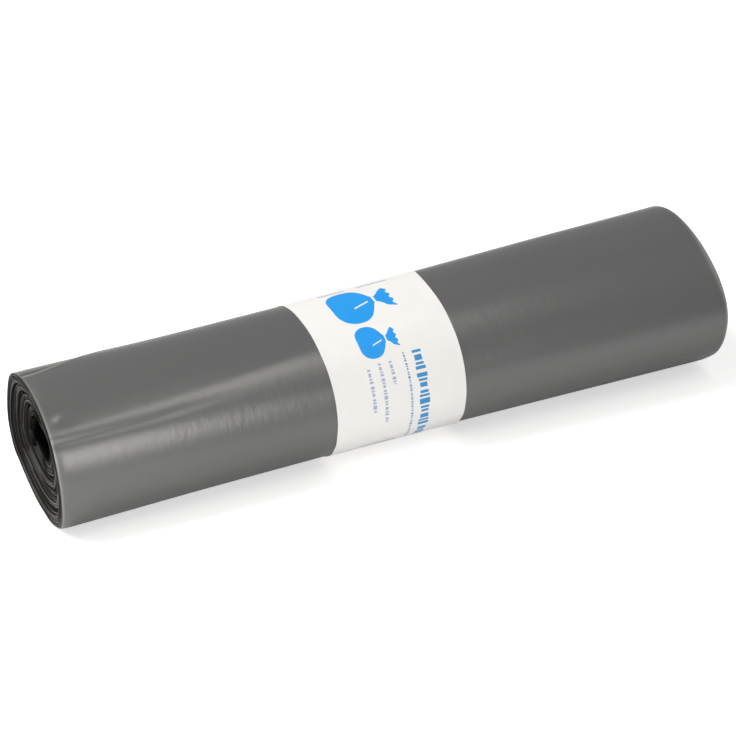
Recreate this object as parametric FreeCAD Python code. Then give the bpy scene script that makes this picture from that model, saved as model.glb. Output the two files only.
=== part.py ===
import FreeCAD, Part
import math
import os

# A roll of bin bags: film folded lengthwise and wound without a core, held by a paper band.
# Millimetres. The roll lies along X on the plane Z = 0, as it rests on a table. +X runs from
# the dished end to the fuller end, +Y to the far side and +Z up.

# Bags and film
BAG_WIDTH = 800.0
LENGTHWISE_LAYERS = 2
ROLL_LENGTH = BAG_WIDTH / LENGTHWISE_LAYERS

# Each end's outline: how far it reaches from the middle line in twelve even directions.
# The first looks to the far side, the fourth straight up, the seventh to the near side.
DISHED_END_REACHES = (44.0, 42.0, 39.0, 36.0, 37.0, 41.0, 44.5, 48.0, 44.0, 37.0, 39.0, 42.5)
FULL_END_REACHES = (52.0, 50.5, 47.5, 42.5, 40.5, 47.5, 51.5, 51.5, 48.0, 43.0, 46.0, 50.5)
OUTLINE_WAVES = 4
DOWN = math.radians(270.0)

# The band draws the roll in, and the roll tapers straight from its edges to the ends
BAND_LEFT = -47.0
BAND_RIGHT = 31.0
WAIST_DEPTH = 1.4

# The film bulges below the table, which cuts it flat, and stands just above it under the band
REST_LEVEL = -1.0
REST_LEVEL_AT_BAND = 0.4
PAPER_DIP = 0.6
PAPER_DIP_WIDTH = math.radians(50.0)

# Hollow that the winding leaves in the middle: a flattened loop
HOLLOW_HALF_WIDTH = 14.0
HOLLOW_HALF_HEIGHT = 9.0
HOLLOW_TILT = math.radians(-12.0)
HOLLOW_OFFSET_Y = 2.0
HOLLOW_OFFSET_Z = 1.0

# Winding: each turn here stands for a bundle of the real turns, which lie tight together
TURNS = 7
TAIL_DIRECTION = math.radians(50.0)
TAIL_STEP = 0.25
TAIL_RAMP_TURNS = 0.22
CORE_TAPER_TURNS = 0.5
CORE_TIP_SHARE = 0.3
SLIT = 0.45

# Loose crescents between turns: after which turn, how wide, where widest, how far round
CRESCENTS = (
    {"after_turn": 2.0, "width": 1.4, "direction": math.radians(-40.0), "reach": 1.2},
    {"after_turn": 5.0, "width": 1.2, "direction": math.radians(0.0), "reach": 1.0},
)
CRESCENT_OPENING_TURNS = 0.35

# How far the edge of each turn stands back from the end of the roll
DISH_START_TURN = 1.5
DISH_DEPTH = 5.0
FULL_END_DISH_DEPTH = 1.6
DISH_POWER = 1.2

# Paper band: a strip round the roll, glued where its ends lap on the underside
PAPER_THICKNESS = 0.2
PAPER_CLEARANCE = 0.15
PAPER_OVERLAP_TURNS = 2.0 / 36.0
PAPER_SEAM_TURNS_BEFORE_TAIL = 0.25
PAPER_LIFT_TURNS = 0.05
TAIL_BRIDGE_TURNS = 0.12

# Sections of the roll, in shares of its length, joined by straight lines
SECTION_SHARES = (0.0, BAND_LEFT / ROLL_LENGTH + 0.5, BAND_RIGHT / ROLL_LENGTH + 0.5, 1.0)
BAND_SECTION_SHARES = (0.0, 1.0)
FACETS_PER_TURN = 36
SLOPE_STEP = 1e-4

PARTS_FOLDER = "parts"


def smooth(share):
    """0 below 0, 1 above 1, and an even S-curve between."""
    share = min(1.0, max(0.0, share))
    return share * share * (3.0 - 2.0 * share)


def rounded(values, direction):
    """A closed curve of a few waves that follows values given in even directions."""
    count = len(values)
    total = sum(values) / count
    for wave in range(1, OUTLINE_WAVES + 1):
        turns = [2.0 * math.pi * wave * k / count for k in range(count)]
        along = sum(v * math.cos(t) for v, t in zip(values, turns)) * 2.0 / count
        across = sum(v * math.sin(t) for v, t in zip(values, turns)) * 2.0 / count
        total += along * math.cos(wave * direction) + across * math.sin(wave * direction)
    return total


def between_ends(x, at_dished_end, at_full_end):
    """A value that changes evenly along the roll."""
    share = x / ROLL_LENGTH + 0.5
    return at_dished_end + (at_full_end - at_dished_end) * share


def waist(x):
    """1 under the band, falling evenly to 0 at the ends."""
    end = ROLL_LENGTH / 2.0
    if x < BAND_LEFT:
        return (end + x) / (end + BAND_LEFT)
    if x > BAND_RIGHT:
        return (end - x) / (end - BAND_RIGHT)
    return 1.0


def outline_reach(x, direction):
    """How far the roll's outside reaches from the middle line in this direction."""
    reach = between_ends(x, rounded(DISHED_END_REACHES, direction), rounded(FULL_END_REACHES, direction))
    return reach - WAIST_DEPTH * waist(x)


def hollow_reach(direction):
    """How far the flattened loop round the hollow reaches in this direction."""
    across = HOLLOW_HALF_WIDTH * math.cos(direction - HOLLOW_TILT)
    along = HOLLOW_HALF_HEIGHT * math.sin(direction - HOLLOW_TILT)
    shift = HOLLOW_OFFSET_Y * math.cos(direction) + HOLLOW_OFFSET_Z * math.sin(direction)
    return math.hypot(across, along) + shift


def middle_z(x):
    """Height of the roll's middle line, from how it rests on the table."""
    level = REST_LEVEL + (REST_LEVEL_AT_BAND - REST_LEVEL) * waist(x)
    return level + outline_reach(x, DOWN)


def touched(x, direction, reach):
    """Point where the curve of this reach meets its tangent line in this direction."""
    slope = (reach(direction + SLOPE_STEP) - reach(direction - SLOPE_STEP)) / (2.0 * SLOPE_STEP)
    far, up = math.cos(direction), math.sin(direction)
    here = reach(direction)
    return FreeCAD.Vector(x, here * far - slope * up, middle_z(x) + here * up + slope * far)


def turns_above(turn):
    """Whole and part turns of film that lie over this one."""
    return TAIL_STEP * smooth((turn - 1.0 + TAIL_RAMP_TURNS) / TAIL_RAMP_TURNS) + max(0.0, turn - 1.0)


def crescent(gap, direction):
    """Width of one loose crescent in this direction."""
    return gap["width"] * smooth((math.cos(direction - gap["direction"]) - 1.0) / gap["reach"] + 1.0)


def pitch(x, direction):
    """Thickness of one turn with its slit, in this direction."""
    wall = outline_reach(x, direction) - hollow_reach(direction)
    return (wall - sum(crescent(gap, direction) for gap in CRESCENTS)) / turns_above(TURNS + 1.0)


def film_depth(x, direction, turn):
    """How deep the outer side of this turn lies below the outline."""
    depth = turns_above(turn) * pitch(x, direction)
    for gap in CRESCENTS:
        opened = smooth((turn - gap["after_turn"]) / CRESCENT_OPENING_TURNS)
        depth += crescent(gap, direction) * opened
    return depth


def film_thickness(x, direction, turn):
    """Thickness of this turn: thin at the tail and where the winding starts."""
    taper = 1.0 - (1.0 - CORE_TIP_SHARE) * smooth((turn - TURNS) / CORE_TAPER_TURNS + 1.0)
    return (turns_above(turn + 1.0) - turns_above(turn)) * taper * pitch(x, direction) - SLIT


def set_back(turn, depth):
    """How far this turn's edge stands back from the end of the roll."""
    share = max(0.0, turn - DISH_START_TURN) / (TURNS - DISH_START_TURN)
    return depth * share**DISH_POWER


def film_side(inner):
    """One side of the wound film, as a point at each turn and each share of the length."""

    def point(turn, share):
        low = -ROLL_LENGTH / 2.0 + set_back(turn, DISH_DEPTH)
        high = ROLL_LENGTH / 2.0 - set_back(turn, FULL_END_DISH_DEPTH)
        x = low + (high - low) * share

        def reach(direction):
            here = (direction - TAIL_DIRECTION) / (2.0 * math.pi)
            depth = film_depth(x, direction, here)
            if inner:
                depth += film_thickness(x, direction, here)
            return outline_reach(x, direction) - depth

        return touched(x, TAIL_DIRECTION + 2.0 * math.pi * turn, reach)

    return point


def paper_side(inner):
    """One side of the paper strip, as a point at each turn and each share of its width."""

    def point(turn, share):
        x = BAND_LEFT + (BAND_RIGHT - BAND_LEFT) * share
        seam = TAIL_DIRECTION - 2.0 * math.pi * PAPER_SEAM_TURNS_BEFORE_TAIL

        def reach(direction):
            here = (direction - seam) / (2.0 * math.pi)
            past_tail = (here - PAPER_SEAM_TURNS_BEFORE_TAIL) % 1.0
            bridged = smooth((1.0 - past_tail) / TAIL_BRIDGE_TURNS)
            lapped = smooth((here - 1.0) / PAPER_LIFT_TURNS + 1.0)
            lift = PAPER_CLEARANCE + lapped * (PAPER_THICKNESS + PAPER_CLEARANCE)
            if not inner:
                off_down = abs(math.remainder(direction - DOWN, 2.0 * math.pi))
                lift += PAPER_THICKNESS + PAPER_DIP * smooth(1.0 - off_down / PAPER_DIP_WIDTH)
            return outline_reach(x, direction) - film_depth(x, direction, past_tail) * bridged + lift

        return touched(x, seam + 2.0 * math.pi * turn, reach)

    return point


def facet(corner, beside, ahead, across):
    """The face between two short lines, from corner to beside and from ahead to across."""
    surface = Part.BSplineSurface()
    rows = [[corner, beside], [ahead, across]]
    surface.buildFromPolesMultsKnots(rows, [2, 2], [2, 2], [0.0, 1.0], [0.0, 1.0], False, False, 1, 1)
    return surface.toShape()


def strip(one, other):
    """Facets between two rows of points."""
    return [facet(*corners) for corners in zip(one, other, one[1:], other[1:])]


def sheet(outer_side, inner_side, shares, turns):
    """A closed solid between two sides, faceted round the roll and straight between its sections."""
    steps = [k / FACETS_PER_TURN for k in range(round(turns * FACETS_PER_TURN) + 1)]
    outer = [[outer_side(turn, share) for turn in steps] for share in shares]
    inner = [[inner_side(turn, share) for turn in steps] for share in shares]
    faces = strip(outer[0], inner[0]) + strip(outer[-1], inner[-1])
    for k in range(len(shares) - 1):
        faces += strip(outer[k], outer[k + 1]) + strip(inner[k], inner[k + 1])
        for tip in (0, -1):
            faces.append(facet(outer[k][tip], inner[k][tip], outer[k + 1][tip], inner[k + 1][tip]))
    shell = Part.Compound(faces)
    shell.sewShape()
    solid = Part.makeSolid(shell.Shells[0])
    if solid.Volume < 0:
        solid.reverse()
    return solid


def rested(solid):
    """The solid with its underside cut flat by the table."""
    size = ROLL_LENGTH
    corner = FreeCAD.Vector(-size, -size, -size)
    return solid.cut(Part.makeBox(2.0 * size, 2.0 * size, size, corner)).Solids[0]


def bag_roll():
    """The bags: one folded film, wound from the hollow out to its tail."""
    return rested(sheet(film_side(inner=False), film_side(inner=True), SECTION_SHARES, TURNS))


def paper_band():
    """The label: a paper strip wrapped once round the roll, its outer end lapped over the inner."""
    turns = 1.0 + PAPER_OVERLAP_TURNS
    return rested(sheet(paper_side(inner=False), paper_side(inner=True), BAND_SECTION_SHARES, turns))


def main():
    os.makedirs(PARTS_FOLDER, exist_ok=True)
    for name, build in (("bag_roll", bag_roll), ("paper_band", paper_band)):
        shape = build()
        shape.exportStep(os.path.join(PARTS_FOLDER, name + ".step"))
        flat = [round(face.Area) for face in shape.Faces if isinstance(face.Surface, Part.Plane)]
        print(name, "valid:", shape.isValid(), "volume:", round(shape.Volume), "flat areas:", flat)


main()
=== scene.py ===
"""Bin bag roll dressed for Blender: wound film with open ends, its paper band, floor, lights and camera.

The shape functions work in millimetres, as the part's source does, and a mesh is made in metres.
A direction is the angle of an outward normal round the roll: first the far side, then up, then
the near side. A turn counts the film from its tail on top inwards to the hollow.
"""
import math

import bpy
import numpy as np
from mathutils import Matrix


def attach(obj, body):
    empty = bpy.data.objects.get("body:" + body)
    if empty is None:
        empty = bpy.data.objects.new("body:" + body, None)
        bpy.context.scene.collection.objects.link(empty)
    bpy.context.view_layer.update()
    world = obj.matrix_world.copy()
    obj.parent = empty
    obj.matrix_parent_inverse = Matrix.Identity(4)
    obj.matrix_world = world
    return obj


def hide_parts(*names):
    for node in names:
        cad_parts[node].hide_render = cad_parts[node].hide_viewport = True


bl_info = {
    "name": "Bin Bag Roll",
    "version": (1, 0, 0),
    "blender": (4, 5, 0),
    "location": "3D View > Sidebar > Bag Roll",
    "description": "Builds a soft roll of bin bags with its paper band, and a plain stage for it",
    "category": "Object",
}

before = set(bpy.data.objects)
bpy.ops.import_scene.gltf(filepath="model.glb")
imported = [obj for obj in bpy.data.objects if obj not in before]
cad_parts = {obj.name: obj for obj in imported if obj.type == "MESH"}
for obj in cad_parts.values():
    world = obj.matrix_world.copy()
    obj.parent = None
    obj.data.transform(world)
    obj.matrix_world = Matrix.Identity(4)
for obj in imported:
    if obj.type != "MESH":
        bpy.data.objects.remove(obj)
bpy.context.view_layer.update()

MM = 0.001
FULL_TURN = 2.0 * math.pi
SLOPE_STEP = 1e-4

# The roll's outline: reaches in twelve even directions at each end
ROLL_LENGTH = 400.0
DISHED_END_REACHES = (44.0, 42.0, 39.0, 36.0, 37.0, 41.0, 44.5, 48.0, 44.0, 37.0, 39.0, 42.5)
FULL_END_REACHES = (52.0, 50.5, 47.5, 42.5, 40.5, 47.5, 51.5, 51.5, 48.0, 43.0, 46.0, 50.5)
OUTLINE_WAVES = 4
BAND_LEFT = -47.0
BAND_RIGHT = 31.0
WAIST_DEPTH = 1.4
DOWN = math.radians(270.0)
REST_LEVEL = -1.0
REST_LEVEL_AT_BAND = 0.4
OUTLINE_INSET = 0.1

# The hollow in the middle
HOLLOW_HALF_WIDTH = 14.0
HOLLOW_HALF_HEIGHT = 9.0
HOLLOW_TILT = math.radians(-12.0)
HOLLOW_OFFSET_Y = 2.0
HOLLOW_OFFSET_Z = 1.0

# The winding: its tail, its uneven turns and the crescents where it is loose
TAIL_DIRECTION = math.radians(50.0)
TAIL_SHARE = 0.02
TAIL_RAMP_TURNS = 0.25
TAIL_CORNER_SKEW = math.radians(34.0)
TAIL_CORNER_START = -118.0
TAIL_CORNER_TURNS = 0.3
UNEVEN_SHARE = 0.004
UNEVEN_RATE = 1.7
CORE_TIP_SHARE = 0.3
CORE_TAPER_TURNS = 0.5
THINNEST_FILM = 0.3
CRESCENTS = (
    {"after_share": 0.24, "width": 1.4, "direction": math.radians(-40.0), "reach": 1.2},
    {"after_share": 0.66, "width": 1.2, "direction": math.radians(0.0), "reach": 1.0},
)
CRESCENT_OPENING_SHARE = 0.04
WALL_THICKNESS = 33.0
OUTER_FILM_TURNS = 1.6

# How the film's edges stand back from the ends: in steps where bundles part, and on some sides
BUNDLE_DEPTHS = (6.2, 11.5, 20.0)
BUNDLE_STEPS = (1.5, 1.3, 1.2)
FULL_END_STEP = 1.5
EDGE_INSET = 0.15
DISHED_END_SLANTS = (
    {"direction": math.radians(288.0), "spread": math.radians(34.0), "depth": 1.0},
    {"direction": math.radians(22.0), "spread": math.radians(26.0), "depth": 0.3},
)
FULL_END_SLANTS = (
    {"direction": math.radians(118.0), "spread": math.radians(26.0), "depth": 1.0},
    {"direction": math.radians(198.0), "spread": math.radians(18.0), "depth": 0.3},
)

# The outline near the ends: flatter where the depth is above zero, fuller where it is below
DISHED_END_FACETS = (
    {"direction": math.radians(20.0), "spread": math.radians(14.0), "depth": 0.6},
    {"direction": math.radians(338.0), "spread": math.radians(13.0), "depth": 0.4},
    {"direction": math.radians(310.0), "spread": math.radians(15.0), "depth": -0.6},
    {"direction": math.radians(285.0), "spread": math.radians(14.0), "depth": 0.5},
    {"direction": math.radians(230.0), "spread": math.radians(14.0), "depth": -0.8},
    {"direction": math.radians(66.0), "spread": math.radians(26.0), "depth": -1.3},
)
FULL_END_FACETS = (
    {"direction": math.radians(66.0), "spread": math.radians(16.0), "depth": 0.5},
    {"direction": math.radians(122.0), "spread": math.radians(20.0), "depth": 0.3},
)
FACET_REACH = 90.0

# The full end's painted highlight along its rim, widest on the near side above
RIM_HIGHLIGHT_DIRECTION = math.radians(128.0)
RIM_HIGHLIGHT_SPREAD = math.radians(34.0)

# The soft forms of the outer film, along lines given by places on the roll and directions there
FOLD_PLACES = (-200.0, -190.0, -147.0, -110.0, -51.0)
RIDGE_DIRECTIONS = (134.0, 133.0, 130.5, 127.5, 119.5)
RIDGE_HEIGHT = 0.22
RIDGE_WIDTH = math.radians(5.0)
RIDGE_FLANK = math.radians(13.0)
GROOVE_DIRECTIONS = (142.0, 141.5, 140.0, 136.0, 130.0)
GROOVE_WIDTH = math.radians(3.0)
GROOVE_DEPTH = 0.2
TAIL_LIP_HEIGHT = 0.12
TAIL_LIP_TURNS = 0.008
# Width of the painted shadow line on the turn below, just beyond the tail's edge
TAIL_SHADOW_WIDTH = 2.6
MEAN_RADIUS = 45.0
DIMPLE_PLACE = -191.0
DIMPLE_LENGTH = 4.5
DIMPLE_DIRECTION = math.radians(125.0)
DIMPLE_WIDTH = math.radians(4.5)
DIMPLE_DEPTH = 0.75

# The paper band
PAPER_CLEARANCE = 0.15
PAPER_OVERLAP_TURNS = 2.0 / 36.0
PAPER_SEAM_TURNS_BEFORE_TAIL = 0.25
PAPER_LIFT_TURNS = 0.05
TAIL_BRIDGE_TURNS = 0.12
PAPER_DIP = 0.6
PAPER_DIP_WIDTH = math.radians(50.0)
BAND_CORNER_DIRECTION = math.radians(64.0)
BAND_CORNER_SPREAD = math.radians(20.0)
BAND_CORNER_REACH = 4.0
LABEL_UNIT = 100.0

# The camera's place and its turn, as in the photograph
CAMERA_PLACE = (-0.4477, -0.8886, 0.5853)
CAMERA_SIDE_ANGLE = math.radians(26.45)
CAMERA_DOWN_ANGLE = math.radians(29.02)
CAMERA_LENS = 99.93
CAMERA_SENSOR = 36.0
LAMP_COLOUR = (1.0, 0.975, 0.95)


# Shapes: the outline, the film and the paper


def smooth(share):
    """0 below 0, 1 above 1, and an even S-curve between."""
    share = np.clip(share, 0.0, 1.0)
    return share * share * (3.0 - 2.0 * share)


def bump(distance, width):
    """A bell of height 1 and this half width."""
    return np.exp(-((distance / width) ** 2))


def rounded(values, direction):
    """A closed curve of a few waves that follows values given in even directions."""
    values = np.array(values)
    turns = FULL_TURN * np.arange(len(values)) / len(values)
    total = np.full_like(direction, values.mean())
    for wave in range(1, OUTLINE_WAVES + 1):
        along = 2.0 * np.mean(values * np.cos(wave * turns))
        across = 2.0 * np.mean(values * np.sin(wave * turns))
        total = total + along * np.cos(wave * direction) + across * np.sin(wave * direction)
    return total


def waist(x):
    """1 under the band, falling evenly to 0 at the ends."""
    end = ROLL_LENGTH / 2.0
    return np.interp(x, (-end, BAND_LEFT, BAND_RIGHT, end), (0.0, 1.0, 1.0, 0.0))


def outline_reach(x, direction):
    """How far the roll reaches from its middle line: even between the two ends, less at the waist."""
    share = x / ROLL_LENGTH + 0.5
    dished = rounded(DISHED_END_REACHES, direction)
    full = rounded(FULL_END_REACHES, direction)
    return dished + (full - dished) * share - WAIST_DEPTH * waist(x)


def hollow_reach(direction):
    """How far the hollow's flattened loop reaches: an ellipse's reach plus its shift."""
    across = HOLLOW_HALF_WIDTH * np.cos(direction - HOLLOW_TILT)
    along = HOLLOW_HALF_HEIGHT * np.sin(direction - HOLLOW_TILT)
    shift = HOLLOW_OFFSET_Y * np.cos(direction) + HOLLOW_OFFSET_Z * np.sin(direction)
    return np.hypot(across, along) + shift


def middle_height(x):
    """Height of the middle line: the rest level plus the reach straight down."""
    level = REST_LEVEL + (REST_LEVEL_AT_BAND - REST_LEVEL) * waist(x)
    return level + outline_reach(x, np.full_like(x, DOWN))


def placed(x, direction, reach, lift):
    """Points whose tangent line in this direction lies this far out, raised along the normal.

    Across the roll a point is reach times the normal plus the reach's slope times the tangent,
    and the lift goes along the normal.
    """
    here = reach(0.0)
    slope = (reach(SLOPE_STEP) - reach(-SLOPE_STEP)) / (2.0 * SLOPE_STEP)
    far = np.cos(direction)
    up = np.sin(direction)
    y = (here + lift) * far - slope * up
    z = middle_height(x) + (here + lift) * up + slope * far
    return np.stack([x, y, z], axis=-1)


def crescent_width(gap, direction):
    """Width of one loose crescent, widest in its own direction and none away from it."""
    return gap["width"] * smooth((np.cos(direction - gap["direction"]) - 1.0) / gap["reach"] + 1.0)


def layer_share(turn, turns):
    """Share of the wall over this turn: none to the tail, a thin step there, then nearly even turns."""
    past_tail = np.maximum(0.0, turn - 1.0)
    step = TAIL_SHARE * smooth((turn - 1.0 + TAIL_RAMP_TURNS) / TAIL_RAMP_TURNS)
    even = (1.0 - TAIL_SHARE) * past_tail / turns
    return step + even + UNEVEN_SHARE * np.sin(UNEVEN_RATE * past_tail)


def film_wall(x, direction):
    """Thickness of all the film between the outline and the hollow, without the crescents."""
    loose = sum(crescent_width(gap, direction) for gap in CRESCENTS)
    return outline_reach(x, direction) - hollow_reach(direction) - loose


def film_depth(x, direction, turn, turns):
    """Depth of this turn under the outline: its share of the wall plus the crescents above it."""
    share = layer_share(turn, turns)
    depth = share * film_wall(x, direction)
    for gap in CRESCENTS:
        opened = smooth((share - gap["after_share"]) / CRESCENT_OPENING_SHARE)
        depth = depth + crescent_width(gap, direction) * opened
    return depth


def film_slit(direction, turn, slit):
    """The gap under a turn: a thin slit that opens wider in drifting places."""
    drift = np.sin(direction + 2.3 * turn) + np.sin(2.0 * direction - 1.1 * turn)
    return slit * (1.0 + 4.0 * smooth(drift - 0.7))


def film_thickness(x, direction, turn, turns, slit):
    """Thickness of this turn: its pitch, thin at the core's tip, less its slit."""
    taper = 1.0 - (1.0 - CORE_TIP_SHARE) * smooth((turn - turns) / CORE_TAPER_TURNS + 1.0)
    pitch = (layer_share(turn + 1.0, turns) - layer_share(turn, turns)) * film_wall(x, direction)
    return np.maximum(THINNEST_FILM, pitch * taper - film_slit(direction, turn, slit))


def tail_skew(x):
    """Angle by which the tail's corner is turned back: it grows towards the dished end."""
    end = -ROLL_LENGTH / 2.0
    return TAIL_CORNER_SKEW * smooth((TAIL_CORNER_START - x) / (TAIL_CORNER_START - end))


def round_the_roll(forms, direction):
    """Sum of bells round the roll, each with its own direction, spread and depth."""
    total = np.zeros_like(direction)
    for form in forms:
        away = np.mod(direction - form["direction"] + math.pi, FULL_TURN) - math.pi
        total = total + form["depth"] * bump(away, form["spread"])
    return total


def film_edges(turn, turns, dish_depth):
    """Places of a turn's two edges: each bundle stands a step back from the one round it.

    A slow dish to the core, slanted sides and a ragged line are added to the steps.
    """
    depth = layer_share(turn, turns) * WALL_THICKNESS
    direction = TAIL_DIRECTION + FULL_TURN * turn
    ragged = 0.25 + 0.14 * np.sin(5.1 * turn) + 0.1 * np.sin(11.3 * turn + 1.0)
    steps = sum(step * smooth((depth - start) / 1.2) for start, step in zip(BUNDLE_DEPTHS, BUNDLE_STEPS))
    dish = (dish_depth - sum(BUNDLE_STEPS)) * smooth(depth / WALL_THICKNESS)
    low = -ROLL_LENGTH / 2.0 + ragged + steps + dish + round_the_roll(DISHED_END_SLANTS, direction)
    high = ROLL_LENGTH / 2.0 - EDGE_INSET - ragged - FULL_END_STEP * smooth(depth / WALL_THICKNESS)
    return low, high - round_the_roll(FULL_END_SLANTS, direction)


def film_outline(x, direction):
    """The outline under the film's soft facets, which are deepest at the ends."""
    end = ROLL_LENGTH / 2.0
    dished = smooth((FACET_REACH - end - x) / FACET_REACH) * round_the_roll(DISHED_END_FACETS, direction)
    full = smooth((x - end + FACET_REACH) / FACET_REACH) * round_the_roll(FULL_END_FACETS, direction)
    return outline_reach(x, direction) - dished - full


def settled(points, depth):
    """Points kept over the table: the deeper a layer lies in the roll, the higher it stays."""
    points[..., 2] = np.maximum(points[..., 2], 0.6 * np.maximum(depth, 0.0))
    return points


def film_lift(x, direction, height):
    """Soft forms of the outer film along its normal.

    A ridge follows its line to the band, where its lower flank widens, and a groove runs under it
    and fades before the band. Long shallow waves run along the roll, short ones stand beside the
    band's edges, and a dimple lies at the corner.
    """
    ridge_line = np.radians(np.interp(x, FOLD_PLACES, RIDGE_DIRECTIONS))
    groove_line = np.radians(np.interp(x, FOLD_PLACES, GROOVE_DIRECTIONS))
    near_band = smooth((x + 130.0) / 50.0)
    before_band = smooth((BAND_LEFT - x) / 9.0)
    off_ridge = direction - ridge_line
    flank = RIDGE_WIDTH + (RIDGE_FLANK - RIDGE_WIDTH) * near_band * (off_ridge > 0.0)
    ridge = RIDGE_HEIGHT * (1.0 + 0.6 * near_band) * bump(off_ridge, flank) * before_band
    groove = -GROOVE_DEPTH * bump(direction - groove_line, GROOVE_WIDTH) * smooth((-88.0 - x) / 50.0)
    drift = 0.9 * np.sin(x / 61.0) + 0.4 * np.sin(x / 23.0)
    long_waves = height * (0.45 * np.sin(9.0 * direction + drift) + 0.3 * np.sin(17.0 * direction - drift))
    off_band = np.maximum(BAND_LEFT - x, x - BAND_RIGHT)
    beside = bump(np.maximum(off_band, 0.0), 16.0) * smooth(off_band / 4.0)
    tucks = height * 0.35 * beside * np.sin(x / 0.9 + 2.0 * np.sin(3.0 * direction)) * bump(direction - 2.6, 0.9)
    dimple = -DIMPLE_DEPTH * bump(x - DIMPLE_PLACE, DIMPLE_LENGTH) * bump(direction - DIMPLE_DIRECTION, DIMPLE_WIDTH)
    rim = 0.25 * (1.0 + np.sin(5.0 * direction)) * bump((np.abs(x) - ROLL_LENGTH / 2.0), 3.0)
    return ridge + groove + long_waves + tucks + dimple - rim


def film_points(x, turn, across, sizes):
    """Points of the wound film at these turns, from its outer side, 0 across, to its inner side, 1.

    The reach is the outline's, less the turn's depth and its share across the film's thickness.
    """
    turns, slit, wrinkle = sizes
    direction = TAIL_DIRECTION + FULL_TURN * turn
    direction = direction + tail_skew(x) * (1.0 - smooth(turn / TAIL_CORNER_TURNS))

    def reach(step):
        here = direction + step
        now = turn + step / FULL_TURN
        inside = film_depth(x, here, now, turns) + across * film_thickness(x, here, now, turns, slit)
        return film_outline(x, here) - OUTLINE_INSET - inside

    shown = (1.0 - smooth((turn - 0.85) / 0.15)) * smooth(turn / 0.04)
    lift = film_lift(x, direction, wrinkle) * shown * (1.0 - across)
    off_band = np.maximum(BAND_LEFT - x, x - BAND_RIGHT)
    lift = lift + TAIL_LIP_HEIGHT * bump(turn, TAIL_LIP_TURNS) * smooth((off_band - 2.0) / 12.0)
    depth = film_depth(x, direction, turn, turns) + across * film_thickness(x, direction, turn, turns, slit)
    return settled(placed(x, direction, reach, lift), depth)


def paper_points(x, turn, across, sizes):
    """Points of the paper strip at these turns from its seam, over the outline and its own lap.

    The reach is the outline's plus the clearance, the lap and the share across the thickness.
    """
    thickness, edge_lift = sizes
    direction = TAIL_DIRECTION - FULL_TURN * PAPER_SEAM_TURNS_BEFORE_TAIL + FULL_TURN * turn

    def reach(step):
        here = direction + step
        past_tail = (turn + step / FULL_TURN - PAPER_SEAM_TURNS_BEFORE_TAIL) % 1.0
        bridged = smooth((1.0 - past_tail) / TAIL_BRIDGE_TURNS)
        lapped = smooth((turn + step / FULL_TURN - 1.0) / PAPER_LIFT_TURNS + 1.0)
        tail_step = TAIL_SHARE * smooth((past_tail - 1.0 + TAIL_RAMP_TURNS) / TAIL_RAMP_TURNS)
        off_down = np.abs(np.mod(here - DOWN + math.pi, FULL_TURN) - math.pi)
        dip = PAPER_DIP * smooth(1.0 - off_down / PAPER_DIP_WIDTH)
        lift = PAPER_CLEARANCE + lapped * (thickness + 0.05) + (1.0 - across) * (thickness + dip)
        return outline_reach(x, here) + lift - tail_step * WALL_THICKNESS * bridged - OUTLINE_INSET

    near_edge = bump(x - BAND_LEFT, 2.5) + bump(x - BAND_RIGHT, 2.5)
    loose = edge_lift * near_edge * (0.5 + 0.5 * np.sin(3.0 * direction + 0.4)) * np.abs(np.cos(direction / 2.0 - 2.36))
    creases = 0.12 * np.sin(14.0 * direction + x / 14.0) * np.sin(direction * 2.3)
    off_down = np.abs(np.mod(direction - DOWN + math.pi, FULL_TURN) - math.pi)
    free = smooth(off_down / PAPER_DIP_WIDTH - 0.3)
    points = placed(x, direction, reach, (loose + creases) * free)
    points[..., 2] = np.maximum(points[..., 2], (1.0 - across) * 0.0 + across * thickness)
    return points


# Meshes: a section's loop carried along the turns, closed at both tips


def end_spaced(count, crowding):
    """Even steps from 0 to 1 that crowd towards both ends."""
    even = np.linspace(-1.0, 1.0, count)
    return 0.5 + 0.5 * np.sign(even) * (1.0 - (1.0 - np.abs(even)) ** crowding)


def section_loop(places, edge_levels):
    """Rows of a closed section as shares of the length and across: out, over the edge, and back."""
    count = len(places)
    levels = np.linspace(0.06, 0.94, edge_levels)
    length = np.concatenate([places, np.ones(edge_levels), places[::-1], np.zeros(edge_levels)])
    across = np.concatenate([np.zeros(count), levels, np.ones(count), levels[::-1]])
    on_edge = np.concatenate([np.zeros(count), np.ones(edge_levels), np.zeros(count), np.ones(edge_levels)])
    return length, across, on_edge


def loop_faces(columns, rows, side):
    """Quads between neighbouring loops, and quads across both tips.

    The loop has two sides of `side` rows with the edge rows between them. A tip is closed by quads
    from one side to the other, and by one face over each side's edge rows.
    """
    grid = np.arange(columns * rows).reshape(columns, rows)
    ahead = np.roll(grid, -1, axis=1)
    quads = np.stack([grid[:-1], grid[1:], ahead[1:], ahead[:-1]], axis=-1).reshape(-1, 4)
    edge = (rows - 2 * side) // 2
    outward = np.arange(side - 1)
    back = 2 * side + edge - 1 - outward
    tips = []
    for column, turned in ((0, False), (columns - 1, True)):
        corners = [grid[column, outward], grid[column, outward + 1], grid[column, back - 1], grid[column, back]]
        cap = np.stack(corners[::-1] if turned else corners, axis=-1)
        tips.append(cap)
    tip_edges = []
    for column, turned in ((0, False), (columns - 1, True)):
        right = grid[column, side - 1:side + edge + 1]
        left = np.concatenate([grid[column, 2 * side + edge - 1:], grid[column, :1]])
        for ring in (right, left):
            tip_edges.append(ring[::-1].tolist() if turned else ring.tolist())
    return quads.tolist() + np.concatenate(tips).tolist() + tip_edges


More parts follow.
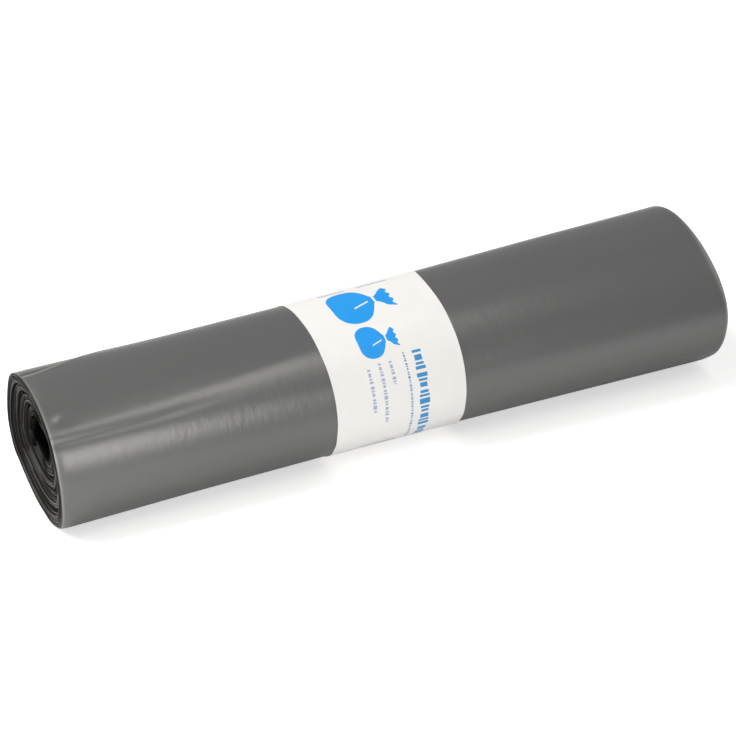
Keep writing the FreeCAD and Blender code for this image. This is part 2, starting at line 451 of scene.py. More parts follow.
def mesh_piece(name, points, faces, sharp_angle):
    """A smooth mesh piece in metres, with sharp edges past this angle."""
    mesh = bpy.data.meshes.new(name)
    mesh.from_pydata((points.reshape(-1, 3) * MM).tolist(), [], faces)
    mesh.validate()
    mesh.shade_smooth()
    mesh.set_sharp_from_angle(angle=sharp_angle)
    piece = bpy.data.objects.new(name, mesh)
    bpy.context.scene.collection.objects.link(piece)
    return piece


def set_point_values(piece, name, values):
    """Stores one number for each point of the mesh."""
    attribute = piece.data.attributes.new(name, "FLOAT", "POINT")
    attribute.data.foreach_set("value", np.ascontiguousarray(values, dtype=np.float32).ravel())


def edge_relief(turn, across, on_edge):
    """Millimetres by which the film's layers stand out or back at its edge, each level its own way."""
    level = np.round(across * 12.0)
    wander = np.sin(turn * (2.0 + 0.37 * level) + 2.1 * level) + np.sin(turn * 5.3 + 1.7 * level)
    return on_edge * (0.16 * wander - 0.2 * (2.0 * across - 1.0) ** 2)


def wound_film(name, first_turn, last_turn, columns, places, edge_levels, sizes, dish_depth):
    """One stretch of the wound film as a closed sheet, with its values for the material, among them masks of painted
    shade, painted shadow and painted highlights.
    """
    turns = sizes[0]
    length, across, on_edge = section_loop(places, edge_levels)
    turn = np.linspace(first_turn, last_turn, columns)[:, None] + np.zeros(len(length))[None, :]
    across = across[None, :] + np.zeros_like(turn)
    on_edge = on_edge[None, :] + np.zeros_like(turn)
    low, high = film_edges(turn, turns, dish_depth)
    x = low + (high - low) * length[None, :]
    side = np.where(length < 0.5, 1.0, -1.0)[None, :]
    x = x - side * edge_relief(turn, across, on_edge)
    points = film_points(x, turn, across, sizes)
    piece = mesh_piece(name, points, loop_faces(columns, len(length), len(places)), math.radians(50.0))
    set_point_values(piece, "at_edge", on_edge)
    set_point_values(piece, "layer", (turn + across) * WALL_THICKNESS / turns)
    direction = TAIL_DIRECTION + FULL_TURN * turn
    # Painted highlight: the edge highlight reaches further in from the full end's rim on the near side above
    wide_rim_highlight = 1.0 - 0.62 * bump(np.mod(direction, FULL_TURN) - RIM_HIGHLIGHT_DIRECTION, RIM_HIGHLIGHT_SPREAD)
    set_point_values(piece, "from_edge", np.minimum(x - low, (high - x) * wide_rim_highlight))
    set_point_values(piece, "from_tail", turn * FULL_TURN * MEAN_RADIUS)
    # Painted shadow: a dark line on the turn below, just beyond the tail's edge
    past_tip = (turn - 1.0) * FULL_TURN - tail_skew(x)
    set_point_values(piece, "tail_shadow", bump(past_tip * MEAN_RADIUS, TAIL_SHADOW_WIDTH))
    # Painted shade: film under the outer turns is darkened, standing for the shade between the layers
    set_point_values(piece, "covered_shade", smooth((turn + across - 1.0) / 1.5))
    depth = layer_share(turn + across, turns) * WALL_THICKNESS
    # Painted highlights on the film's edges: at the bundle steps and on the outer and inner turns, strongest on the
    # near side above, where the light falls
    bundle_edge_highlights = sum(bump(depth - start, 0.7) for start in BUNDLE_DEPTHS)
    open_edge_highlights = np.maximum(1.0 - smooth((turn + across - 1.0) / 0.3), smooth(turn + across - turns))
    lit_near_side = 0.3 + 0.7 * bump(np.mod(direction, FULL_TURN) - math.radians(150.0), math.radians(70.0))
    set_point_values(piece, "edge_highlight", 0.05 + 0.95 * lit_near_side * np.clip(0.7 * bundle_edge_highlights + open_edge_highlights, 0.0, 1.0))
    return piece


def label_strip(name, columns, rows, sizes):
    """The paper band as a closed strip, with a map in label units round the roll and along it."""
    places = end_spaced(rows, 1.6)
    length, across, on_edge = section_loop(places, 2)
    turn = np.linspace(0.0, 1.0 + PAPER_OVERLAP_TURNS, columns)[:, None] + np.zeros(len(length))[None, :]
    across = across[None, :] + np.zeros_like(turn)
    flat_x = BAND_LEFT + (BAND_RIGHT - BAND_LEFT) * length[None, :] + np.zeros_like(turn)
    sway = 0.35 * np.sin(FULL_TURN * turn + 1.0) + 0.2 * np.sin(3.0 * FULL_TURN * turn)
    direction = TAIL_DIRECTION + FULL_TURN * (turn - PAPER_SEAM_TURNS_BEFORE_TAIL)
    corner = BAND_CORNER_REACH * bump(direction - BAND_CORNER_DIRECTION, BAND_CORNER_SPREAD)
    x = flat_x + sway * (2.0 * length[None, :] - 1.0) + corner * length[None, :]
    points = paper_points(x, turn, across, sizes)
    steps = np.linalg.norm(np.diff(points[:, rows // 2, 1:], axis=0), axis=1)
    around = np.concatenate([[0.0], np.cumsum(steps)])
    far_side_turn = PAPER_SEAM_TURNS_BEFORE_TAIL - TAIL_DIRECTION / FULL_TURN
    around = around - np.interp(far_side_turn, turn[:, 0], around)
    piece = mesh_piece(name, points, loop_faces(columns, len(length), rows), math.radians(50.0))
    uv = np.stack([around[:, None] + np.zeros_like(turn), flat_x], axis=-1).reshape(-1, 2) / LABEL_UNIT
    corners = np.empty(len(piece.data.loops), dtype=np.int32)
    piece.data.loops.foreach_get("vertex_index", corners)
    layer = piece.data.uv_layers.new(name="label")
    layer.uv.foreach_set("vector", uv[corners].astype(np.float32).ravel())
    return piece


# Materials: shared effects as groups, then one material for each finish


def feed(tree, socket, value):
    """Gives a socket a constant, or the output of another node."""
    if isinstance(value, bpy.types.NodeSocket):
        tree.links.new(value, socket)
    else:
        socket.default_value = value


def calculate(tree, operation, *values):
    """Output of one math step on sockets and numbers."""
    step = tree.nodes.new("ShaderNodeMath")
    step.operation = operation
    for socket, value in zip(step.inputs, values):
        feed(tree, socket, value)
    return step.outputs["Value"]


def blended(tree, share, under, over):
    """Colour over another colour by a share."""
    mix = tree.nodes.new("ShaderNodeMix")
    mix.data_type = "RGBA"
    mix.clamp_factor = True
    feed(tree, mix.inputs[0], share)
    feed(tree, mix.inputs[6], under)
    feed(tree, mix.inputs[7], over)
    return mix.outputs[2]


def rescaled(tree, value, low, high, to_low, to_high):
    """A value carried from one range to another, with soft ends."""
    step = tree.nodes.new("ShaderNodeMapRange")
    step.interpolation_type = "SMOOTHSTEP"
    for name, given in (("Value", value), ("From Min", low), ("From Max", high)):
        feed(tree, step.inputs[name], given)
    feed(tree, step.inputs["To Min"], to_low)
    feed(tree, step.inputs["To Max"], to_high)
    return step.outputs["Result"]


def noise(tree, vector, scale, detail):
    """Soft noise round a half at these coordinates."""
    step = tree.nodes.new("ShaderNodeTexNoise")
    step.inputs["Detail"].default_value = detail
    feed(tree, step.inputs["Vector"], vector)
    feed(tree, step.inputs["Scale"], scale)
    return step.outputs["Fac"]


def stretched(tree, vector, scale):
    """Coordinates stretched along each axis."""
    step = tree.nodes.new("ShaderNodeMapping")
    feed(tree, step.inputs["Vector"], vector)
    feed(tree, step.inputs["Scale"], scale)
    return step.outputs["Vector"]


def point_value(tree, name):
    """A number stored on the mesh."""
    step = tree.nodes.new("ShaderNodeAttribute")
    step.attribute_name = name
    return step.outputs["Fac"]


def new_group(name, inputs, outputs):
    """An empty node group with named sockets, and its inner ends."""
    group = bpy.data.node_groups.new(name, "ShaderNodeTree")
    for label, kind, value in inputs:
        socket = group.interface.new_socket(name=label, in_out="INPUT", socket_type=kind)
        socket.default_value = value
    for label, kind in outputs:
        group.interface.new_socket(name=label, in_out="OUTPUT", socket_type=kind)
    start = group.nodes.new("NodeGroupInput")
    end = group.nodes.new("NodeGroupOutput")
    return group, start.outputs, end.inputs


def place_group(tree, name, **values):
    """A node group placed in a material with its own values; returns its outputs."""
    step = tree.nodes.new("ShaderNodeGroup")
    step.node_tree = bpy.data.node_groups[name]
    for label, value in values.items():
        feed(tree, step.inputs[label.replace("_", " ")], value)
    return step.outputs


def make_uneven_tone_group():
    """Uneven tone: a colour made lighter and darker by soft noise, and the noise itself."""
    inputs = (
        ("Colour", "NodeSocketColor", (0.5, 0.5, 0.5, 1.0)),
        ("Vector", "NodeSocketVector", (0.0, 0.0, 0.0)),
        ("Scale", "NodeSocketFloat", 10.0),
        ("Amount", "NodeSocketFloat", 0.1),
    )
    outputs = (("Colour", "NodeSocketColor"), ("Share", "NodeSocketFloat"))
    group, given, result = new_group("Uneven tone", inputs, outputs)
    share = noise(group, given["Vector"], given["Scale"], 2.0)
    centred = calculate(group, "SUBTRACT", share, 0.5)
    change = calculate(group, "MULTIPLY_ADD", centred, given["Amount"], 1.0)
    scale = group.nodes.new("ShaderNodeVectorMath")
    scale.operation = "SCALE"
    feed(group, scale.inputs[0], given["Colour"])
    feed(group, scale.inputs["Scale"], change)
    feed(group, result["Colour"], scale.outputs[0])
    feed(group, result["Share"], share)


def make_fine_relief_group():
    """Fine relief: height from coarse and fine noise, for a Bump node."""
    inputs = (
        ("Vector", "NodeSocketVector", (0.0, 0.0, 0.0)),
        ("Coarse", "NodeSocketFloat", 100.0),
        ("Fine", "NodeSocketFloat", 600.0),
        ("Fine share", "NodeSocketFloat", 0.3),
    )
    group, given, result = new_group("Fine relief", inputs, (("Height", "NodeSocketFloat"),))
    coarse = noise(group, given["Vector"], given["Coarse"], 2.0)
    fine = noise(group, given["Vector"], given["Fine"], 3.0)
    height = calculate(group, "MULTIPLY_ADD", fine, given["Fine share"], coarse)
    feed(group, result["Height"], height)


def make_bar_group():
    """Print bar: a rounded bar's mask from its middle and half sizes in millimetres.

    The distance to the bar is that of its inner box, less its corner radius.
    """
    inputs = tuple(
        (label, "NodeSocketFloat", value)
        for label, value in (
            ("Around", 0.0), ("Along", 0.0), ("Middle around", 0.0), ("Middle along", 0.0),
            ("Half around", 5.0), ("Half along", 1.0), ("Corner", 0.5),
        )
    )
    group, given, result = new_group("Print bar", inputs, (("Mask", "NodeSocketFloat"),))
    off = []
    for place, middle, half in (("Around", "Middle around", "Half around"), ("Along", "Middle along", "Half along")):
        away = calculate(group, "ABSOLUTE", calculate(group, "SUBTRACT", given[place], given[middle]))
        inner = calculate(group, "SUBTRACT", given[half], given["Corner"])
        off.append(calculate(group, "MAXIMUM", calculate(group, "SUBTRACT", away, inner), 0.0))
    squares = calculate(group, "ADD", calculate(group, "POWER", off[0], 2.0), calculate(group, "POWER", off[1], 2.0))
    distance = calculate(group, "SUBTRACT", calculate(group, "SQRT", squares), given["Corner"])
    feed(group, result["Mask"], rescaled(group, distance, -0.12, 0.12, 1.0, 0.0))


def make_line_group():
    """Print line: a row of strokes between two places, where a line of text stands.

    The strokes' lengths and heights vary from one to the next.
    """
    inputs = tuple(
        (label, "NodeSocketFloat", value)
        for label, value in (
            ("Around", 0.0), ("Along", 0.0), ("Start", 0.0), ("End", 10.0),
            ("Middle along", 0.0), ("Half along", 1.0), ("Dash", 4.0),
        )
    )
    group, given, result = new_group("Print line", inputs, (("Mask", "NodeSocketFloat"),))
    past = calculate(group, "DIVIDE", calculate(group, "SUBTRACT", given["Around"], given["Start"]), given["Dash"])
    uneven = calculate(group, "MULTIPLY", calculate(group, "SINE", calculate(group, "MULTIPLY", past, 2.3)), 0.22)
    strokes = calculate(group, "ADD", past, uneven)
    cell = calculate(group, "FRACT", strokes)
    off_middle = calculate(group, "ABSOLUTE", calculate(group, "SUBTRACT", cell, 0.5))
    dash = rescaled(group, off_middle, 0.29, 0.35, 1.0, 0.0)
    wander = calculate(group, "SINE", calculate(group, "MULTIPLY", calculate(group, "FLOOR", strokes), 5.0))
    half = calculate(group, "MULTIPLY", given["Half along"], calculate(group, "MULTIPLY_ADD", wander, 0.16, 0.84))
    away = calculate(group, "ABSOLUTE", calculate(group, "SUBTRACT", given["Along"], given["Middle along"]))
    beyond = calculate(group, "SUBTRACT", away, half)
    row = rescaled(group, beyond, -0.12, 0.12, 1.0, 0.0)
    begun = calculate(group, "GREATER_THAN", given["Around"], given["Start"])
    ended = calculate(group, "LESS_THAN", given["Around"], given["End"])
    span = calculate(group, "MULTIPLY", begun, ended)
    feed(group, result["Mask"], calculate(group, "MULTIPLY", span, calculate(group, "MULTIPLY", dash, row)))


def make_sack_group():
    """Print sack: the mask of a tied sack, its half width a curve of the height, with a tie and folds."""
    inputs = tuple(
        (label, "NodeSocketFloat", value)
        for label, value in (
            ("Around", 0.0), ("Along", 0.0), ("Middle around", 0.0), ("Foot along", 0.0), ("Height", 30.0),
        )
    )
    group, given, result = new_group("Print sack", inputs, (("Mask", "NodeSocketFloat"),))
    sideways = calculate(group, "SUBTRACT", given["Around"], given["Middle around"])
    sideways = calculate(group, "DIVIDE", sideways, given["Height"])
    upward = calculate(group, "SUBTRACT", given["Along"], given["Foot along"])
    upward = calculate(group, "DIVIDE", upward, given["Height"])
    ruffle = calculate(group, "MULTIPLY", calculate(group, "SINE", calculate(group, "MULTIPLY", sideways, 44.0)), 0.02)
    upper = rescaled(group, upward, 0.8, 0.95, 0.0, 1.0)
    upward = calculate(group, "MULTIPLY_ADD", ruffle, upper, upward)
    curve = group.nodes.new("ShaderNodeFloatCurve")
    profile = ((0.0, 0.16), (0.04, 0.3), (0.14, 0.4), (0.34, 0.44), (0.5, 0.38), (0.62, 0.22),
               (0.69, 0.09), (0.73, 0.075), (0.78, 0.11), (0.88, 0.22), (1.0, 0.27))
    points = curve.mapping.curves[0].points
    points[0].location = profile[0]
    points[1].location = profile[-1]
    for place in profile[1:-1]:
        points.new(*place)
    curve.mapping.update()
    feed(group, curve.inputs["Value"], upward)
    aside = calculate(group, "ABSOLUTE", sideways)
    body = rescaled(group, calculate(group, "SUBTRACT", aside, curve.outputs[0]), -0.006, 0.006, 1.0, 0.0)
    above_foot = rescaled(group, upward, -0.006, 0.006, 0.0, 1.0)
    below_top = rescaled(group, upward, 0.97, 0.985, 1.0, 0.0)
    tie = calculate(group, "ABSOLUTE", calculate(group, "SUBTRACT", upward, 0.71))
    clear_of_tie = rescaled(group, tie, 0.012, 0.024, 0.0, 1.0)
    spread = calculate(group, "MULTIPLY", calculate(group, "SUBTRACT", 0.66, upward), 0.34)
    fold = calculate(group, "ABSOLUTE", calculate(group, "SUBTRACT", sideways, spread))
    fold_length = calculate(group, "ABSOLUTE", calculate(group, "SUBTRACT", upward, 0.47))
    inside_fold = calculate(group, "MULTIPLY", rescaled(group, fold, 0.010, 0.020, 1.0, 0.0),
                            rescaled(group, fold_length, 0.12, 0.14, 1.0, 0.0))
    shape = calculate(group, "MULTIPLY", body, calculate(group, "MULTIPLY", above_foot, below_top))
    open_shape = calculate(group, "MULTIPLY", shape, clear_of_tie)
    feed(group, result["Mask"], calculate(group, "MULTIPLY", open_shape, calculate(group, "SUBTRACT", 1.0, inside_fold)))


def new_material(name):
    """An empty node material with a Principled shader; returns it, its tree and the shader."""
    material = bpy.data.materials.new(name)
    material.use_nodes = True
    tree = material.node_tree
    return material, tree, tree.nodes["Principled BSDF"]


def satin_film_material(settings):
    """Satin grey film: long faint streaks, fine grain, painted shade on the layered edges, inside the roll, beyond the
    tail and in the hollow, and painted highlights on the edges.
    """
    material, tree, shader = new_material("satin_film")
    place = tree.nodes.new("ShaderNodeTexCoord").outputs["Object"]
    along = stretched(tree, place, (6.0, 60.0, 60.0))
    streaks = place_group(tree, "Uneven tone", Colour=(*settings.film_colour, 1.0), Vector=along, Scale=1.0, Amount=0.16)
    patches = place_group(tree, "Uneven tone", Colour=streaks["Colour"], Vector=place, Scale=14.0, Amount=0.1)
    layer = point_value(tree, "layer")
    at_edge = point_value(tree, "at_edge")
    from_edge = point_value(tree, "from_edge")
    rows = tree.nodes.new("ShaderNodeCombineXYZ")
    feed(tree, rows.inputs["X"], layer)
    lines = noise(tree, rows.outputs["Vector"], 2.6, 3.0)
    # Painted shade on the stacked film edges, with lighter lines of painted highlight along the layers
    highlight_line_share = rescaled(tree, lines, 0.5, 0.72, 0.0, 0.25)
    edge_shading_colour = blended(tree, highlight_line_share, (*settings.edge_shading_colour, 1.0), (*settings.edge_highlight_colour, 1.0))
    # Painted shade: the film under the outer turns takes the dark inner colour
    within = blended(tree, point_value(tree, "covered_shade"), patches["Colour"], (*settings.inner_shade_colour, 1.0))
    # Painted shadow: the dark line just beyond the tail's edge
    tail_shadowed = blended(tree, point_value(tree, "tail_shadow"), within, (*settings.inner_shade_colour, 1.0))
    body_colour = blended(tree, at_edge, tail_shadowed, edge_shading_colour)
    # Painted highlight: the film's edges and the tail's edge are made lighter
    edge_highlight = rescaled(tree, from_edge, 0.3, 1.6, 0.85, 0.0)
    edge_highlight = calculate(tree, "MULTIPLY", edge_highlight, point_value(tree, "edge_highlight"))
    tail_edge_highlight = rescaled(tree, point_value(tree, "from_tail"), 0.8, 2.4, 0.8, 0.0)
    edge_highlight = calculate(tree, "MAXIMUM", edge_highlight, tail_edge_highlight)
    highlighted = blended(tree, edge_highlight, body_colour, (*settings.edge_highlight_colour, 1.0))
    # Painted shade: the deepest turns round the hollow go near black
    hollow_shade = rescaled(tree, layer, 23.0, 28.0, 0.0, 0.85)
    feed(tree, shader.inputs["Base Color"], blended(tree, hollow_shade, highlighted, (0.0, 0.0, 0.0, 1.0)))
    feed(tree, shader.inputs["Roughness"], settings.film_roughness)
    # Painted shade: the sheen is mostly taken off the stacked edges and the covered film
    inside = calculate(tree, "MAXIMUM", at_edge, point_value(tree, "covered_shade"))
    feed(tree, shader.inputs["Specular IOR Level"], calculate(tree, "MULTIPLY_ADD", inside, -0.9, 1.0))
    grain = place_group(tree, "Fine relief", Vector=stretched(tree, place, (2.0, 0.6, 0.6)), Coarse=150.0,
                        Fine=700.0, Fine_share=0.4)
    relief = tree.nodes.new("ShaderNodeBump")
    relief.inputs["Strength"].default_value = 0.16
    relief.inputs["Distance"].default_value = 0.0006
    feed(tree, relief.inputs["Height"], grain["Height"])
    feed(tree, shader.inputs["Normal"], relief.outputs["Normal"])
    shader.inputs["IOR"].default_value = 1.5
    return material


def printed_paper_material(settings):
    """Coated paper with fibres: azure sacks, bars of one title, and paler lines of dashes."""
    material, tree, shader = new_material("printed_paper")
    label = tree.nodes.new("ShaderNodeUVMap")
    label.uv_map = "label"
    split = tree.nodes.new("ShaderNodeSeparateXYZ")
    feed(tree, split.inputs["Vector"], label.outputs["UV"])
    around = calculate(tree, "MULTIPLY", split.outputs["X"], LABEL_UNIT)
    along = calculate(tree, "MULTIPLY", split.outputs["Y"], LABEL_UNIT)
    here = {"Around": around, "Along": along}
    paper = place_group(tree, "Uneven tone", Colour=(*settings.paper_colour, 1.0), Vector=label.outputs["UV"],
                        Scale=9.0, Amount=0.05)
    colour = paper["Colour"]
    sacks = ((70.0, -28.0, 36.0), (99.0, -25.0, 23.0))
    for middle, foot, height in sacks:
        mask = place_group(tree, "Print sack", Middle_around=middle, Foot_along=foot, Height=height, **here)["Mask"]
        colour = blended(tree, mask, colour, (*settings.print_colour, 1.0))
    bars = ((50.5, -20.0, 0.9, 8.0), (50.5, 4.0, 0.9, 9.0), (164.5, -19.0, 0.9, 10.0))
    for middle, row, half, half_height in bars:
        mask = place_group(tree, "Print bar", Middle_around=middle, Middle_along=row, Half_around=half,
                           Half_along=half_height, Corner=0.4, **here)["Mask"]
        colour = blended(tree, mask, colour, (*settings.faint_colour, 1.0))
    title = (*settings.title_colour, 1.0)
    pale = (*settings.pale_colour, 1.0)
    faint = (*settings.faint_colour, 1.0)
    lines = ((109.0, 170.0, 5.5, 3.2, 3.1, title), (-12.0, 42.0, 5.5, 3.2, 3.1, title),
             (109.0, 170.0, -2.2, 0.7, 1.5, pale), (112.0, 125.0, -11.0, 1.1, 2.1, faint),
             (112.0, 146.0, -17.5, 1.1, 2.0, faint), (114.0, 138.0, -24.5, 1.1, 2.2, faint),
             (-12.0, 42.0, -2.2, 0.7, 1.5, pale), (-9.0, 4.0, -11.0, 1.1, 2.1, faint),
             (-9.0, 25.0, -17.5, 1.1, 2.0, faint), (-7.0, 17.0, -24.5, 1.1, 2.2, faint))
    for start, end, row, half_height, dash, ink in lines:
        mask = place_group(tree, "Print line", Start=start, End=end, Middle_along=row, Half_along=half_height,
                           Dash=dash, **here)["Mask"]
        colour = blended(tree, mask, colour, ink)
    feed(tree, shader.inputs["Base Color"], colour)
    feed(tree, shader.inputs["Roughness"], rescaled(tree, paper["Share"], 0.3, 0.7, 0.5, 0.62))
    place = tree.nodes.new("ShaderNodeTexCoord").outputs["Object"]
    fibres = place_group(tree, "Fine relief", Vector=place, Coarse=240.0, Fine=1500.0, Fine_share=0.5)
    relief = tree.nodes.new("ShaderNodeBump")
    relief.inputs["Strength"].default_value = 0.15
    relief.inputs["Distance"].default_value = 0.0004
    feed(tree, relief.inputs["Height"], fibres["Height"])
    feed(tree, shader.inputs["Normal"], relief.outputs["Normal"])
    return material


def pale_floor_material(settings):
    """A matt pale floor that the camera sees near white, with the roll's shadow on it."""
    material, tree, shader = new_material("pale_floor")
    place = tree.nodes.new("ShaderNodeTexCoord").outputs["Object"]
    tone = place_group(tree, "Uneven tone", Colour=(*settings.floor_colour, 1.0), Vector=place, Scale=3.0, Amount=0.01)
    feed(tree, shader.inputs["Base Color"], tone["Colour"])
    shader.inputs["Roughness"].default_value = 0.9
    shader.inputs["Specular IOR Level"].default_value = 0.0
    path = tree.nodes.new("ShaderNodeLightPath")
    shader.inputs["Emission Strength"].default_value = 1.0
    glow = blended(tree, path.outputs["Is Camera Ray"], (0.0, 0.0, 0.0, 1.0), (0.5, 0.5, 0.5, 1.0))
    feed(tree, shader.inputs["Emission Color"], glow)
    return material


# Settings that a user would change


class RollFilmSettings(bpy.types.PropertyGroup):
    """Sizes and colours of the wound film."""

    turns: bpy.props.IntProperty(name="Turns", description="Bundles of film wound on each other", default=24, min=6)
    slit: bpy.props.FloatProperty(
        name="Slit", description="Usual gap between two turns", default=0.00012, unit="LENGTH", precision=5)
    dish_depth: bpy.props.FloatProperty(
        name="Dish depth", description="How far the core stands back in the dished end", default=0.0052,
        unit="LENGTH", precision=4)
    wrinkle_height: bpy.props.FloatProperty(
        name="Wrinkle height", description="Height of the film's long waves", default=0.00012, unit="LENGTH",
        precision=5)
    film_colour: bpy.props.FloatVectorProperty(
        name="Film", description="Colour of the film", subtype="COLOR", default=(0.088, 0.090, 0.090))
    # Painted shade: the near black colour of the stacked film edges stands for the shade in the slits between layers
    edge_shading_colour: bpy.props.FloatVectorProperty(
        name="Edge", description="Colour of the stacked film edges", subtype="COLOR", default=(0.007, 0.0068, 0.0065))
    # Painted shade: the dark colour given to the film inside the roll and to the shadow beyond the tail
    inner_shade_colour: bpy.props.FloatVectorProperty(
        name="Inside", description="Colour of the film within the roll", subtype="COLOR",
        default=(0.009, 0.009, 0.0086))
    # Painted highlight: the light colour given to the film's edges
    edge_highlight_colour: bpy.props.FloatVectorProperty(
        name="Lip", description="Colour of the light lips on the film's edges", subtype="COLOR",
        default=(0.23, 0.225, 0.215))
    film_roughness: bpy.props.FloatProperty(
        name="Roughness", description="Roughness of the film", default=0.295, subtype="FACTOR", min=0.0, max=1.0)


class RollBandSettings(bpy.types.PropertyGroup):
    """Sizes and colours of the paper band."""

    paper_thickness: bpy.props.FloatProperty(
        name="Paper thickness", description="Thickness of the paper", default=0.0002, unit="LENGTH", precision=5)
    edge_lift: bpy.props.FloatProperty(
        name="Edge lift", description="How far loose stretches of the edges stand off", default=0.0004,
        unit="LENGTH", precision=5)
    paper_colour: bpy.props.FloatVectorProperty(
        name="Paper", description="Colour of the paper", subtype="COLOR", default=(0.78, 0.775, 0.76))
    print_colour: bpy.props.FloatVectorProperty(
        name="Print", description="Colour of the printed sacks", subtype="COLOR", default=(0.004, 0.29, 0.76))
    title_colour: bpy.props.FloatVectorProperty(
        name="Title", description="Colour of the title bars", subtype="COLOR", default=(0.03, 0.25, 0.55))
    faint_colour: bpy.props.FloatVectorProperty(
        name="Faint print", description="Colour of the faintest lines", subtype="COLOR", default=(0.34, 0.40, 0.55))
    pale_colour: bpy.props.FloatVectorProperty(
        name="Pale print", description="Colour of the small lines", subtype="COLOR", default=(0.16, 0.28, 0.50))


class RollStageSettings(bpy.types.PropertyGroup):
    """Floor and lights of the stage."""

    floor_size: bpy.props.FloatProperty(
        name="Floor size", description="Length of the floor's sides", default=8.0, unit="LENGTH")
    floor_colour: bpy.props.FloatVectorProperty(
        name="Floor", description="Colour of the floor", subtype="COLOR", default=(0.88, 0.88, 0.88))
    sky_strength: bpy.props.FloatProperty(
        name="Sky strength", description="Strength of the even light all round", default=0.34, min=0.0)
    softbox_power: bpy.props.FloatProperty(
        name="Softbox power", description="Power of the softbox near the camera", default=3.9, unit="POWER")
    strip_power: bpy.props.FloatProperty(
        name="Strip power", description="Power of the narrow strip light above the front", default=1.35, unit="POWER")
    top_power: bpy.props.FloatProperty(
        name="Top light power", description="Power of the wide light above on the left", default=43.0, unit="POWER")
    fill_power: bpy.props.FloatProperty(
        name="Fill power", description="Power of the low light before the dished end", default=1.5, unit="POWER")


# Operators


class ROLL_OT_materials(bpy.types.Operator):
    """Make the shared node groups of the materials"""

    bl_idname = "bag_roll.material_groups"
    bl_label = "Make Material Groups"

    def execute(self, context):
        make_uneven_tone_group()
        make_fine_relief_group()
        make_bar_group()
        make_line_group()
        make_sack_group()
        return {"FINISHED"}


class ROLL_OT_film(bpy.types.Operator):
    """Wind the film: its outer turn with the tail, and all the turns within"""

    bl_idname = "bag_roll.film"
    bl_label = "Wind Film"

    def execute(self, context):
        settings = context.scene.roll_film
        sizes = (settings.turns, settings.slit / MM, settings.wrinkle_height / MM)
        dish_depth = settings.dish_depth / MM
        material = satin_film_material(settings)
        outer = wound_film("film_outer", 0.0, OUTER_FILM_TURNS, 480, end_spaced(82, 2.2), 5, sizes, dish_depth)
        band_places = (0.0, 0.004, 0.03, BAND_LEFT / ROLL_LENGTH + 0.5, BAND_RIGHT / ROLL_LENGTH + 0.5, 0.97, 0.996, 1.0)
        inner = wound_film("film_turns", OUTER_FILM_TURNS, float(settings.turns), 1900, np.array(band_places), 6,
                           sizes, dish_depth)
        for piece in (outer, inner):
            piece.data.materials.append(material)
            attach(piece, "root")
            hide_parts("bag_roll")
        return {"FINISHED"}


class ROLL_OT_band(bpy.types.Operator):
    """Wrap the printed paper band round the roll's waist"""

    bl_idname = "bag_roll.band"
    bl_label = "Wrap Paper Band"

    def execute(self, context):
        settings = context.scene.roll_band
        sizes = (settings.paper_thickness / MM, settings.edge_lift / MM)
        band = label_strip("label_band", 400, 30, sizes)
        band.data.materials.append(printed_paper_material(settings))
        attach(band, "root")
        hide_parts("paper_band")
        return {"FINISHED"}


def aimed_light(name, power, sizes, place, target, length_way):
    """A rectangular area light that looks at a point, its length lying this way."""
    data = bpy.data.lights.new(name, "AREA")
    data.energy = power
    data.color = LAMP_COLOUR
    data.shape = "RECTANGLE"
    data.size, data.size_y = sizes
    light = bpy.data.objects.new(name, data)
    bpy.context.scene.collection.objects.link(light)
    away = np.array(place) - np.array(target)
    away = away / np.linalg.norm(away)
    side = np.array(length_way) - np.dot(length_way, away) * away
    side = side / np.linalg.norm(side)
    up = np.cross(away, side)
    turned = Matrix(np.stack([side, up, away], axis=1).tolist()).to_4x4()
    light.matrix_world = Matrix.Translation(place) @ turned
    return light


def white_sky(strength):
    """Even light all round, which the camera sees as plain white."""
    world = bpy.data.worlds.new("white_sky")
    world.use_nodes = True
    tree = world.node_tree
    path = tree.nodes.new("ShaderNodeLightPath")
    seen = calculate(tree, "MAXIMUM", path.outputs["Is Camera Ray"], path.outputs["Is Transmission Ray"])
    sky = tree.nodes["Background"]
    feed(tree, sky.inputs["Strength"], calculate(tree, "MULTIPLY_ADD", seen, 1.0 - strength, strength))
    sky.inputs["Color"].default_value = (1.0, 1.0, 1.0, 1.0)
    bpy.context.scene.world = world


def photo_camera():
    """The camera at the photograph's place, level and without shift."""
    data = bpy.data.cameras.new("photo_camera")
    data.lens = CAMERA_LENS
    data.sensor_width = CAMERA_SENSOR
    camera = bpy.data.objects.new("photo_camera", data)
    bpy.context.scene.collection.objects.link(camera)
    turn = Matrix.Rotation(-CAMERA_SIDE_ANGLE, 4, "Z")
    tilt = Matrix.Rotation(math.pi / 2.0 - CAMERA_DOWN_ANGLE, 4, "X")
    camera.matrix_world = Matrix.Translation(CAMERA_PLACE) @ turn @ tilt
    bpy.context.scene.camera = camera


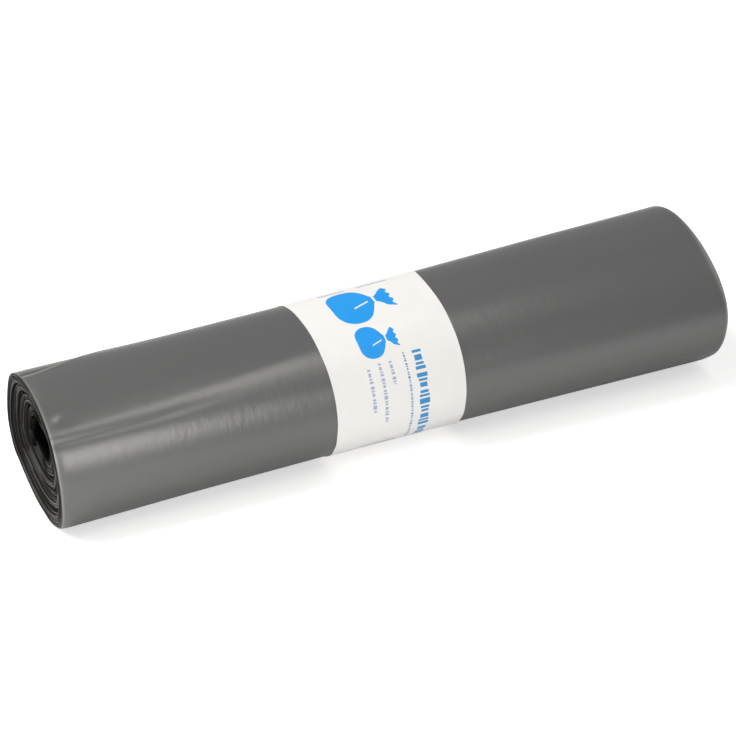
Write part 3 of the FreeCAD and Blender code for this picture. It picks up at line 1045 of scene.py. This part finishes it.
class ROLL_OT_stage(bpy.types.Operator):
    """Set the stage: floor, lights and camera"""

    bl_idname = "bag_roll.stage"
    bl_label = "Set Stage"

    def execute(self, context):
        settings = context.scene.roll_stage
        half = settings.floor_size / 2.0
        corners = [(-half, -half, 0.0), (half, -half, 0.0), (half, half, 0.0), (-half, half, 0.0)]
        mesh = bpy.data.meshes.new("floor")
        mesh.from_pydata(corners, [], [(0, 1, 2, 3)])
        floor = bpy.data.objects.new("floor", mesh)
        context.scene.collection.objects.link(floor)
        floor.data.materials.append(pale_floor_material(settings))
        aimed_light("softbox", settings.softbox_power, (0.28, 0.58), (0.095, -1.34, 0.53), (-0.15, 0.0, 0.05),
                    (1.0, 0.0, 0.0))
        aimed_light("strip", settings.strip_power, (0.66, 0.12), (0.17, -0.39, 0.90), (-0.12, 0.0, 0.06),
                    (0.255, 0.52, 0.19))
        aimed_light("top_light", settings.top_power, (1.4, 1.4), (-1.2, 0.7, 1.4), (0.0, 0.0, 0.0), (1.0, 0.0, 0.0))
        aimed_light("fill", settings.fill_power, (0.3, 0.15), (-0.45, -0.50, 0.04), (-0.1, 0.0, 0.04), (1.0, 0.0, 0.0))
        white_sky(settings.sky_strength)
        photo_camera()
        context.scene.view_settings.view_transform = "Standard"
        return {"FINISHED"}


class ROLL_PT_panel(bpy.types.Panel):
    """The roll's settings and steps"""

    bl_label = "Bag Roll"
    bl_space_type = "VIEW_3D"
    bl_region_type = "UI"
    bl_category = "Bag Roll"

    def draw(self, context):
        steps = (
            (context.scene.roll_film, ROLL_OT_film.bl_idname),
            (context.scene.roll_band, ROLL_OT_band.bl_idname),
            (context.scene.roll_stage, ROLL_OT_stage.bl_idname),
        )
        self.layout.operator(ROLL_OT_materials.bl_idname)
        for settings, operator in steps:
            box = self.layout.box()
            for name in settings.bl_rna.properties.keys():
                if name not in ("rna_type", "name"):
                    box.prop(settings, name)
            box.operator(operator)


CLASSES = (
    RollFilmSettings,
    RollBandSettings,
    RollStageSettings,
    ROLL_OT_materials,
    ROLL_OT_film,
    ROLL_OT_band,
    ROLL_OT_stage,
    ROLL_PT_panel,
)


def register():
    for one in CLASSES:
        bpy.utils.register_class(one)
    bpy.types.Scene.roll_film = bpy.props.PointerProperty(type=RollFilmSettings)
    bpy.types.Scene.roll_band = bpy.props.PointerProperty(type=RollBandSettings)
    bpy.types.Scene.roll_stage = bpy.props.PointerProperty(type=RollStageSettings)


def unregister():
    del bpy.types.Scene.roll_stage
    del bpy.types.Scene.roll_band
    del bpy.types.Scene.roll_film
    for one in reversed(CLASSES):
        bpy.utils.unregister_class(one)


def main():
    register()
    bpy.ops.bag_roll.material_groups()
    bpy.ops.bag_roll.film()
    bpy.ops.bag_roll.band()
    bpy.ops.bag_roll.stage()


if __name__ == "__main__":
    main()
